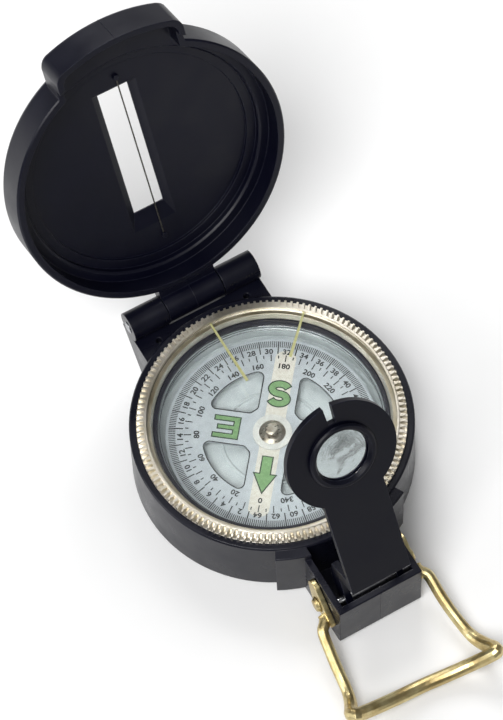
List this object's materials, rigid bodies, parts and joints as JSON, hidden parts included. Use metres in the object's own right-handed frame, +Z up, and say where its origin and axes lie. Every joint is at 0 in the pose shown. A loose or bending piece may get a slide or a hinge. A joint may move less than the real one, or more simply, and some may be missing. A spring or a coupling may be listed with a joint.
{
  "type": "sighting compass",
  "caption": "Hinged-cover sighting compass: round case, knurled turning bezel, pivoted card, folding magnifier eyepiece and wire thumb loop.",
  "frame": {"origin": "on the card's axis, on the flat underside of the case", "axes": "+Z up along the card's axis, +Y towards the cover's hinge, -Y towards the eyepiece and thumb loop, +X along the hinges"},
  "size_m": [0.058, 0.1274, 0.0785],
  "materials": {
    "black_plastic": "moulded black ABS, satin",
    "clear_plastic": "clear acrylic",
    "lens_glass": "polished acrylic lens",
    "capsule_plastic": "pale translucent moulding",
    "card_print": "printed pale blue-grey card",
    "hub_white": "white moulding",
    "gold_alloy": "champagne anodised, knurled",
    "brass_wire": "drawn wire, lacquered",
    "steel": "drawn pin stock",
    "magnet_metal": "flat bar",
    "luminous_paint": "yellow-green luminous paint",
    "fibre_washer": "thin friction washer"
  },
  "bodies": {
    "case": {"case": "black_plastic", "capsule_cup": "capsule_plastic", "capsule_lens": "clear_plastic", "pivot_pin": "steel", "retaining_ring": "black_plastic", "bezel_washer": "fibre_washer", "bezel_snap_ring": "steel", "hinge_pin": "steel", "eyepiece_pin": "brass_wire", "loop_rivets": "brass_wire"},
    "bezel": {"bezel_ring": "gold_alloy", "bezel_crystal": "clear_plastic", "luminous_line_north": "luminous_paint", "luminous_line_45": "luminous_paint"},
    "card": {"compass_card": "card_print", "card_hub": "hub_white", "jewel_cup": "brass_wire", "bar_magnet": "magnet_metal"},
    "cover": {"cover": "black_plastic", "sight_wire": "steel", "wire_pegs": "black_plastic"},
    "eyepiece": {"eyepiece_arm": "black_plastic", "magnifier_lens": "lens_glass", "lens_ring": "black_plastic"},
    "loop": {"thumb_loop": "brass_wire"}
  },
  "joints": [
    {"name": "cover_hinge", "type": "hinge", "parent": "case", "child": "cover", "pos_m": [0, 0.0329, 0.01547], "axis": [-1, 0, 0], "range_deg": [-112, 68]},
    {"name": "eyepiece_hinge", "type": "hinge", "parent": "case", "child": "eyepiece", "pos_m": [0, -0.0389, 0.01], "axis": [1, 0, 0], "range_deg": [-62, 30]},
    {"name": "thumb_loop_hinge", "type": "hinge", "parent": "case", "child": "loop", "pos_m": [0, -0.0359, 0.0067], "axis": [1, 0, 0], "range_deg": [-88, 76]},
    {"name": "bezel_turn", "type": "hinge", "parent": "case", "child": "bezel", "pos_m": [0, 0, 0.015], "axis": [0, 0, 1], "continuous": true},
    {"name": "card_spin", "type": "hinge", "parent": "case", "child": "card", "pos_m": [0, 0, 0.011], "axis": [0, 0, 1], "continuous": true}
  ]
}
